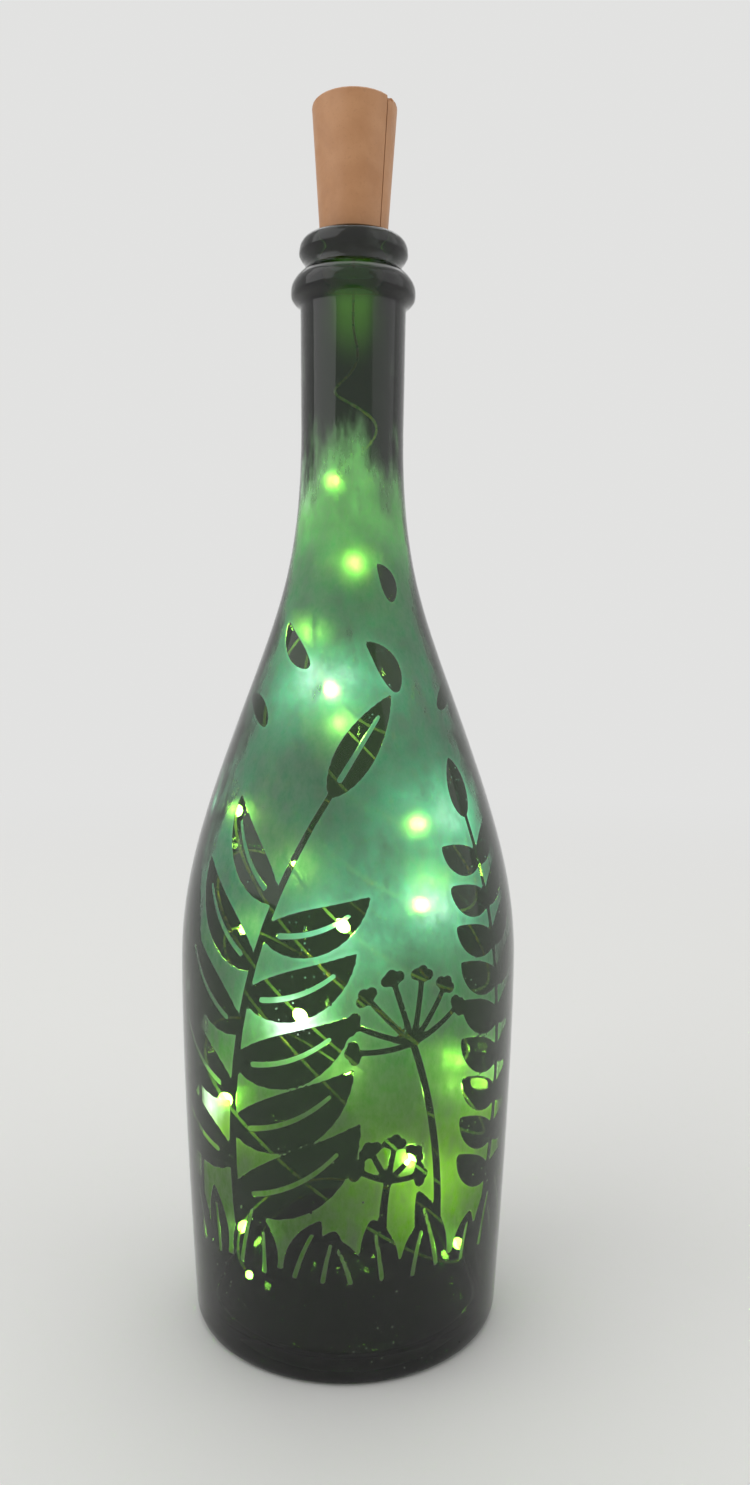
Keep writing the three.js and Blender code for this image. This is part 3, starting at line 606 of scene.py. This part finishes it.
# Etched design: distances on the unrolled front of the bottle, in millimetres

class Design:
    """Clear shapes left in the etched ground. Across is the way round the bottle, up is its height."""

    REACH = 2.5

    def __init__(self, across, up):
        self.spot = np.column_stack([across, up])
        self.shapes = np.full(len(across), self.REACH)
        self.veins = np.full(len(across), self.REACH)

    def stroke(self, field, points, halves):
        """Lowers a field to the distance from a rounded stroke with a half width at each point."""
        reach = max(halves) + self.REACH
        low, high = points.min(axis=0) - reach, points.max(axis=0) + reach
        near = np.flatnonzero(np.all((self.spot > low) & (self.spot < high), axis=1))
        spot, best = self.spot[near], field[near]
        for a, b, half_a, half_b in zip(points, points[1:], halves, halves[1:]):
            way = b - a
            t = np.clip((spot - a) @ way / max(way @ way, 1e-9), 0, 1)
            gap = np.linalg.norm(spot - a - t[:, None] * way, axis=1) - half_a - (half_b - half_a) * t
            best = np.minimum(best, gap)
        field[near] = best

    def stem(self, start, end, bow, thick, thin):
        line = bowed(start, end, bow)
        self.stroke(self.shapes, line, np.linspace(thick, thin, len(line)) / 2)
        return line

    def leaf(self, start, end, bow, width, vein=0.0):
        """A pointed leaf, with an etched vein along its middle if that has a width."""
        line = bowed(start, end, bow)
        t = np.linspace(0, 1, len(line))
        outline = np.sin(math.pi * t ** LEAF_SKEW) ** LEAF_FULLNESS
        self.stroke(self.shapes, line, width / 2 * outline + LEAF_LEAST)
        if vein:
            rib = line[VEIN_FROM:VEIN_TO]
            self.stroke(self.veins, rib, np.linspace(vein, VEIN_TAPER * vein, len(rib)) / 2)

    def sprig(self, start, end, bow, pairs, long, wide, vein):
        """A stem with broad leaves on alternate sides and one at its tip."""
        line = self.stem(start, end, bow, *SPRIG_STEM)
        for i in range(2 * pairs):
            share = SPRIG_FIRST + SPRIG_SPAN * i / (2 * pairs)
            at, way = along(line, share)
            side = 1 if i % 2 else -1
            size = 1 - SPRIG_TAPER * share
            tip = at + turned(way, side * (SPRIG_ANGLE - SPRIG_CLOSING * share)) * long * size
            self.leaf(at, tip, side * SPRIG_BOW * long * size, wide * size, vein)
        at, way = along(line, 1.0)
        self.leaf(at - way, at + way * long * SPRIG_TIP_L, 0.0, wide * SPRIG_TIP_W, vein)

    def frond(self, start, end, bow, pairs, long, wide):
        """A bent stem with pairs of oval leaflets and one at its tip."""
        line = self.stem(start, end, bow, *FROND_STEM)
        for i in range(pairs):
            share = FROND_FIRST + FROND_SPAN * i / pairs
            at, way = along(line, share)
            size = 1 - FROND_TAPER * abs(share - FROND_WIDEST)
            for side in (-1, 1):
                tip = at + turned(way, side * (FROND_ANGLE - FROND_CLOSING * share)) * long * size
                self.leaf(at, tip, side * FROND_BOW * long * size, wide * size)
        at, way = along(line, 1.0)
        self.leaf(at - way, at + way * long * FROND_TIP, 0.0, FROND_TIP * wide)

    def umbel(self, start, head, bow, spokes, reach):
        """A stem with a fan of spokes, each with three florets."""
        line = self.stem(start, head, bow, *UMBEL_STEM)
        at, way = along(line, 1.0)
        for i in range(spokes):
            angle = -UMBEL_HALF + 2 * UMBEL_HALF * i / (spokes - 1)
            length = reach * (UMBEL_LEAST + (1 - UMBEL_LEAST) * math.cos(math.radians(angle)))
            tip = at + turned(way, angle) * length
            self.stem(at, tip, SPOKE_BOW * angle * length / UMBEL_HALF, *SPOKE_W)
            for turn in FLORET_TURNS:
                spot = tip + turned(way, angle + turn) * FLORET_L
                self.stroke(self.shapes, np.array([tip, spot]), FLORET_HALVES)

    def seed_head(self, start, end, bow, rows, long):
        """A stem with pairs of small husks along its upper part."""
        line = self.stem(start, end, bow, *SEED_STEM)
        for i in range(rows):
            at, way = along(line, SEED_FIRST + SEED_SPAN * i / rows)
            for side in (-1, 1):
                tip = at + turned(way, side * SEED_ANGLE) * long
                self.leaf(at, tip, side * SEED_BOW, SEED_W)

    def ground(self, level):
        """Clears all that is below a level."""
        above = np.clip(self.spot[:, 1] - level, -self.REACH, self.REACH)
        self.shapes = np.minimum(self.shapes, above)

    def distance(self):
        """Above zero where the glass is etched."""
        return np.maximum(self.shapes, -self.veins)


def turned(way, degrees):
    """A direction turned to its left."""
    c, s = math.cos(math.radians(degrees)), math.sin(math.radians(degrees))
    return np.array([c * way[0] - s * way[1], s * way[0] + c * way[1]])


def bowed(start, end, bow, count=14):
    """Points from start to end on a curve that bows to its left."""
    a, b = np.array(start, float), np.array(end, float)
    way = (b - a) / np.linalg.norm(b - a)
    middle = (a + b) / 2 + turned(way, 90) * 2 * bow
    return np.vstack([[a], bezier([a, middle, b], count)])


def along(line, share):
    """A point at a share of a line, and the direction there."""
    at = share * (len(line) - 1)
    i = min(int(at), len(line) - 2)
    way = line[i + 1] - line[i]
    return line[i] + way * (at - i), way / np.linalg.norm(way)


def draw_meadow(design):
    """Broad-leaved stems, fronds, umbels and seed heads over low leaves, with leaves adrift above."""
    design.sprig((-27, 26), (-4, 148), bow=13, pairs=5, long=43, wide=16, vein=1.4)
    design.frond((36, 24), (33, 142), bow=-11, pairs=9, long=17, wide=8.2)
    design.frond((-70, 24), (-60, 108), bow=-6, pairs=7, long=15, wide=7.4)
    design.umbel((22, 24), (16, 88), bow=-4, spokes=7, reach=16)
    design.umbel((12, 24), (10, 54), bow=2, spokes=5, reach=8.5)
    design.seed_head((-46, 24), (-55, 138), bow=-5, rows=10, long=9)
    design.seed_head((60, 24), (58, 96), bow=4, rows=8, long=8)
    design.sprig((84, 24), (74, 120), bow=-8, pairs=4, long=28, wide=12, vein=1.4)
    for start, end, bow, width in DRIFTING:
        design.leaf(start, end, bow, width)
    draw_ground(design)


def draw_ground(design):
    """A wavy ground with low leaves that lean, grow and widen by seeded draws."""
    draws = np.random.default_rng(LOW_SEED)
    for at in np.arange(-LOW_HALF, LOW_HALF + 1, LOW_STEP):
        lean, tall = draws.uniform(*LOW_LEAN), draws.uniform(*LOW_TALL)
        start, end = (at, GROUND_Z - LOW_ROOT), (at + lean, GROUND_Z + tall)
        design.leaf(start, end, LOW_BOW * lean, draws.uniform(*LOW_WIDE), LOW_VEIN)
    across = design.spot[:, 0]
    waves = [tall * np.sin(across / long + shift) for tall, long, shift in GROUND_WAVES]
    design.ground(GROUND_Z + sum(waves))


# Bottle

def resampled(points, step):
    """The same line in equal steps of about a size, its ends kept."""
    points = np.array(points, float)
    lengths = lengths_along(points)
    at = np.linspace(0, lengths[-1], max(1, round(lengths[-1] / step)) + 1)
    return walked(points, lengths, at)


def rounded(start, corner, end, count):
    """Points from start to end on a curve that turns at a corner."""
    return np.vstack([[start], bezier([start, corner, end], count)])


def punt_line(lift):
    """Radius and height of the punt, from its crown to the base ring, lifted by a height."""
    crown = (PUNT_CORNER_R, PUNT_H + lift)
    return resampled(rounded((0, PUNT_H + lift), crown, (RING_IN_R, lift), PUNT_STEPS), COARSE)


def outer_line():
    """Radius and height of the outside, from the crown of the punt up to the mouth."""
    heel = rounded((RING_OUT_R, 0), (FOOT_R, 0), (FOOT_R, HEEL_R), HEEL_STEPS)
    swell_z, wide_z = COLLAR_Z + COLLAR_FOOT / 2, COLLAR_Z + COLLAR_FOOT
    swell = [(SEAT_R, COLLAR_Z), (SEAT_R, swell_z), (COLLAR_R, swell_z), (COLLAR_R, wide_z)]
    brow = (COLLAR_R, GROOVE_Z - COLLAR_SLOPE)
    collar = rounded((COLLAR_R, GROOVE_Z - COLLAR_ROUND), brow, (GROOVE_R, GROOVE_Z), ROUND_STEPS)
    lip_low, lip_top = (LIP_R, LIP_Z + LIP_UNDER), (LIP_R - LIP_ROUND, BOTTLE_H)
    under = rounded((GROOVE_R, LIP_Z), (LIP_R, LIP_Z + LIP_SLOPE), lip_low, SMALL_STEPS)
    lip = rounded((LIP_R, BOTTLE_H - LIP_ROUND), (LIP_R, BOTTLE_H), lip_top, ROUND_STEPS)
    side = resampled(OUTER_SIDE, FINE)
    neck = resampled([OUTER_SIDE[-1], (SEAT_R, COLLAR_Z)], NECK_STEP)
    foot = bezier(swell, SWELL_STEPS)
    return np.vstack([punt_line(0), heel, side[1:], neck[1:], foot, collar, under, lip])


def inner_line():
    """Radius and height of the inside, from the mouth down to the crown of the punt."""
    wall = FOOT_R - WALL
    heel = rounded((RING_IN_R, BASE_T), (wall, BASE_T), (wall, BASE_T + INNER_HEEL), SMALL_STEPS)
    bore_end, mouth_end = (BORE_R, BOTTLE_H - MOUTH_ROUND), (BORE_R + MOUTH_ROUND, BOTTLE_H)
    mouth = rounded(bore_end, (BORE_R, BOTTLE_H), mouth_end, MOUTH_STEPS)
    side = resampled(INNER_SIDE, INNER_STEP)
    return np.vstack([punt_line(BASE_T), heel[1:], side[1:], mouth])[::-1]


def columns():
    """Angles round the bottle from its front, fine where the design is."""
    fine = np.radians(FINE_HALF_TURN)
    front = np.linspace(-fine, fine, round(2 * fine * BODY_R / FINE) + 1)
    back = np.linspace(fine, 2 * math.pi - fine, round((360 - 2 * FINE_HALF_TURN) / BACK_STEP) + 1)
    return np.append(front, back[1:-1])


def centre(node):
    """The middle of a CAD node's box."""
    low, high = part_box(node)
    return (np.array(low) + np.array(high)) / 2


def light_places():
    return np.array([centre(f"led_{i + 1:02d}") for i in range(LIGHTS)])


def glow_on(spots, normals):
    """Light that reaches each spot of the glass from the lights inside, as a share of white."""
    total = np.zeros(len(spots))
    for place in light_places() / MM:
        way = spots - place
        far = np.linalg.norm(way, axis=1)
        facing = np.clip(np.einsum("ij,ij->i", way, normals) / far, 0, 1)
        total += facing * np.exp(-far / GLOW_REACH) / (far ** 2 + GLOW_SPREAD ** 2)
    narrow = smooth((spots[:, 2] - NECK_GAIN_FROM_Z) / (NECK_GAIN_TO_Z - NECK_GAIN_FROM_Z))
    total *= GLOW * (1 + (NECK_GAIN - 1) * narrow)
    return total / (1 + total / GLOW_LIMIT)


def make_bottle():
    """The bottle on a fine grid, which carries the etched design and the glow as attributes."""
    turn = columns()
    outside, inside = outer_line(), inner_line()
    profile = np.vstack([outside[1:], inside[:-1]])
    r, z = profile[:, :1], profile[:, 1:]
    points = np.stack([r * np.sin(turn), -r * np.cos(turn), z + 0 * turn], axis=-1).reshape(-1, 3)
    rows, count = len(profile), len(turn)
    faces = grid_faces(rows, count) + cap_faces(rows, count, len(points), len(points) + 1)
    points = np.vstack([points, [(0, 0, PUNT_H), (0, 0, PUNT_H + BASE_T)]])
    bottle = new_object("etched_bottle", points * MM, faces)
    etch_bottle(bottle, points, len(outside) - 1, turn)
    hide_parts("glass_bottle")
    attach(bottle, "bottle")
    return bottle


def etch_bottle(bottle, points, outer_rows, turn):
    """Stores how far each outer point is inside the etched ground, its cover, glow and height."""
    outer = outer_rows * len(turn)
    spots = points[:outer]
    z = spots[:, 2]
    angle = np.tile((turn + math.pi) % (2 * math.pi) - math.pi, outer_rows)
    design = Design(angle * np.hypot(spots[:, 0], spots[:, 1]), z)
    draw_meadow(design)
    wider = NECK_SIDE * smooth((z - NECK_SIDE_FROM_Z) / (NECK_SIDE_TO_Z - NECK_SIDE_FROM_Z))
    side_cover = 1 - smooth((np.degrees(np.abs(angle)) - wider - SIDE_FROM) / (SIDE_TO - SIDE_FROM))
    top_cover = 1 - smooth((z - FADE_FROM_Z) / (FADE_TO_Z - FADE_FROM_Z))
    normals = np.zeros(len(bottle.data.vertices) * 3)
    bottle.data.vertices.foreach_get("normal", normals)
    normals = normals.reshape(-1, 3)[:outer]
    store(bottle, "etch", design.distance(), -Design.REACH)
    store(bottle, "cover", side_cover * top_cover, 0.0)
    store(bottle, "glow", glow_on(spots, normals), 0.0)
    store(bottle, "height", z / BOTTLE_H, 0.0)


def store(made, name, values, rest):
    """A number for each point of a mesh, with one value for the points after the given ones."""
    attribute = made.data.attributes.new(name, "FLOAT", "POINT")
    full = np.full(len(made.data.vertices), rest)
    full[:len(values)] = values
    attribute.data.foreach_set("value", full)


# Lights on the string

def drop(length, radius):
    """A resin drop along Z, drawn out at both ends onto the wire."""
    t = np.linspace(0, 1, DROP_ROWS + 1)[1:-1]
    r = np.maximum(radius * np.sin(math.pi * t) ** DROP_FULLNESS, STRING_R + DROP_OVER_WIRE)
    z = (t - 0.5) * length
    turn = np.linspace(0, 2 * math.pi, DROP_SIDES, endpoint=False)
    ring = np.stack([np.cos(turn), np.sin(turn)], axis=-1)
    rings = (ring * r[:, None, None]).reshape(-1, 2)
    body = np.column_stack([rings, np.repeat(z, DROP_SIDES)])
    points = np.vstack([body, [(0, 0, -length / 2), (0, 0, length / 2)]])
    caps = cap_faces(len(z), DROP_SIDES, len(body), len(body) + 1)
    return points, grid_faces(len(z), DROP_SIDES) + caps


def chip_block():
    """A small bevelled block beside the wire."""
    top = CHIP_OFF + CHIP_H
    points = []
    for x, inset in ((CHIP_OFF, 0), (top - CHIP_BEVEL, 0), (top, CHIP_BEVEL)):
        half_w, half_l = CHIP_W / 2 - inset, CHIP_L / 2 - inset
        points += [(x, y * half_w, z * half_l) for y, z in SQUARE]
    return np.array(points), [[3, 2, 1, 0], [8, 9, 10, 11]] + grid_faces(3, 4)


def place_on_string(made, node):
    """Turns a piece made along Z into the string's direction, at a CAD node's place."""
    spot = centre(node)
    i = int(np.argmin(np.linalg.norm(PATH - spot, axis=1)))
    low, high = max(0, i - 2), min(len(PATH) - 1, i + 2)
    way = Vector(PATH[high] - PATH[low])
    made.matrix_world = Matrix.Translation(spot) @ way.to_track_quat("Z", "Y").to_matrix().to_4x4()


def light_wire(string):
    """Stores how brightly the lights shine on the wire along its length."""
    near = np.min([np.linalg.norm(PATH - place, axis=1) for place in light_places()], axis=0)
    store(string, "lit", np.repeat(np.exp(-near / (WIRE_REACH * MM)), STRAND_SIDES), 0.0)


def make_lights(clear, chip):
    """A resin drop with its chip at each light of the string, and a plain drop at its tip."""
    made = []
    for i in range(LIGHTS):
        name = f"led_{i + 1:02d}"
        points, faces = drop(DROP_L, DROP_R)
        block, sides = chip_block()
        faces = faces + [[len(points) + j for j in face] for face in sides]
        light = new_object(f"resin_{name}", np.vstack([points, block]) * MM, faces)
        light.data.materials.append(clear)
        light.data.materials.append(chip)
        for face in light.data.polygons[-len(sides):]:
            face.material_index = 1
            face.use_smooth = False
        finish_light(light, name)
        made.append(light)
    points, faces = drop(TIP_L, TIP_R)
    tip = new_object("resin_tip", points * MM, faces)
    tip.data.materials.append(clear)
    finish_light(tip, "string_tip")
    return made + [tip]


def finish_light(light, node):
    """Puts a light in its CAD node's place."""
    place_on_string(light, node)
    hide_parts(node)
    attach(light, "bottle")


# CAD solids that stay

def smoothing():
    """Modifier nodes that smooth a faceted solid's shading, apart from its real edges."""
    tree = bpy.data.node_groups.new("smooth_shading", "GeometryNodeTree")
    tree.interface.new_socket("Geometry", in_out="INPUT", socket_type="NodeSocketGeometry")
    tree.interface.new_socket("Geometry", in_out="OUTPUT", socket_type="NodeSocketGeometry")
    merge = tree.nodes.new("GeometryNodeMergeByDistance")
    merge.inputs["Distance"].default_value = MERGE_UNDER * MM
    faces = tree.nodes.new("GeometryNodeSetShadeSmooth")
    edges = tree.nodes.new("GeometryNodeSetShadeSmooth")
    edges.domain = "EDGE"
    angle = tree.nodes.new("GeometryNodeInputMeshEdgeAngle")
    flat = tree.nodes.new("FunctionNodeCompare")
    flat.operation = "LESS_THAN"
    flat.inputs[1].default_value = math.radians(SMOOTH_UNDER)
    tree.links.new(tree.nodes.new("NodeGroupInput").outputs[0], merge.inputs["Geometry"])
    tree.links.new(merge.outputs[0], faces.inputs["Geometry"])
    tree.links.new(faces.outputs[0], edges.inputs["Geometry"])
    tree.links.new(angle.outputs["Unsigned Angle"], flat.inputs[0])
    tree.links.new(flat.outputs[0], edges.inputs["Shade Smooth"])
    tree.links.new(edges.outputs[0], tree.nodes.new("NodeGroupOutput").inputs[0])
    return tree


def dress_solids():
    """A material for every CAD solid that shows, by its slot in the record."""
    paints = {
        "cork_plastic": cork_plastic(),
        "steel": metal("nickel_steel", (0.62, 0.61, 0.58), (0.52, 0.50, 0.46), 0.26),
        "brass": metal("brass", (0.68, 0.48, 0.19), (0.52, 0.34, 0.12), 0.28),
        "black_plastic": plastic("black_plastic", (0.018, 0.018, 0.02), (0.03, 0.03, 0.032), 0.45),
        "black_lead": plastic("black_insulation", (0.015, 0.015, 0.016), (0.026, 0.026, 0.028), 0.36),
        "red_lead": plastic("red_insulation", (0.42, 0.02, 0.015), (0.33, 0.014, 0.012), 0.36),
        "board": board_lacquer(),
        "white_plastic": plastic("off_white_plastic", (0.74, 0.71, 0.64), (0.66, 0.63, 0.55), 0.48),
    }
    shading = smoothing()
    for part in frame["record"]["subparts"]:
        slot = part["material_slot"]
        if slot not in paints:
            continue
        solid = NODES[part["node"]]
        solid.data.materials.clear()
        solid.data.materials.append(paints[slot])
        solid.modifiers.new("smooth_shading", "NODES").node_group = shading


# Studio

def seen_ray(tree):
    """1 on rays that show the background: seen, mirrored or seen through glass."""
    path = tree.nodes.new("ShaderNodeLightPath")
    seen = path.outputs["Is Camera Ray"]
    for ray in ("Is Glossy Ray", "Is Transmission Ray"):
        either = tree.nodes.new("ShaderNodeMath")
        either.operation = "MAXIMUM"
        tree.links.new(seen, either.inputs[0])
        tree.links.new(path.outputs[ray], either.inputs[1])
        seen = either.outputs[0]
    return seen


def make_floor():
    """A pale sheet that looks like the world around it where it is far from the bottle."""
    corners = [(x * FLOOR_HALF, y * FLOOR_HALF, 0) for x, y in SQUARE]
    floor = new_object("floor", corners, [range(4)])
    paint = Paint("floor")
    paint.set(Base_Color=rgba(FLOOR), Roughness=FLOOR_ROUGH)
    away = paint.add("ShaderNodeVectorMath", operation="LENGTH")
    paint.put(away.inputs[0], paint.place)
    fade = paint.spread(away.outputs["Value"], FLOOR_NEAR, FLOOR_FAR, kind="SMOOTHSTEP")
    pale = paint.add("ShaderNodeEmission")
    paint.put(pale.inputs["Color"], WORLD_COLOUR)
    paint.put(pale.inputs["Strength"], WORLD_SEEN)
    surface = paint.add("ShaderNodeMixShader")
    paint.put(surface.inputs[0], paint.math("MULTIPLY", fade, seen_ray(paint.tree)))
    paint.put(surface.inputs[1], paint.shader.outputs[0])
    paint.put(surface.inputs[2], pale.outputs[0])
    paint.put(paint.output.inputs["Surface"], surface.outputs[0])
    floor.data.materials.append(paint.material)


def pale_world():
    """An even soft light with a paler look where it is seen."""
    world = bpy.data.worlds.new("studio")
    world.use_nodes = True
    tree = world.node_tree
    strength = tree.nodes.new("ShaderNodeMapRange")
    strength.inputs["To Min"].default_value = WORLD_LIGHT
    strength.inputs["To Max"].default_value = WORLD_SEEN
    tree.links.new(seen_ray(tree), strength.inputs["Value"])
    background = tree.nodes["Background"]
    background.inputs["Color"].default_value = WORLD_COLOUR
    tree.links.new(strength.outputs["Result"], background.inputs["Strength"])
    return world


def make_lamps():
    """The world's light, and large soft lamps that face the bottle."""
    bpy.context.scene.world = pale_world()
    for name, place, size, power in LAMPS:
        data = bpy.data.lights.new(name, "AREA")
        data.shape, data.size, data.energy = "SQUARE", size, power
        lamp = bpy.data.objects.new(name, data)
        lamp.location = place
        aim = Vector(LAMP_AIM) - Vector(place)
        lamp.rotation_euler = aim.to_track_quat("-Z", "Y").to_euler()
        bpy.context.scene.collection.objects.link(lamp)


# Putting it together

bottle = make_bottle()
bottle.data.materials.append(etched_glass())
lights = make_lights(resin(), light_chip())
light_wire(STRING)
STRING.data.materials.append(enamelled_copper())
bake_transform(STRING)
dress_solids()
make_floor()
make_lamps()
bpy.context.scene.view_settings.view_transform = "Standard"
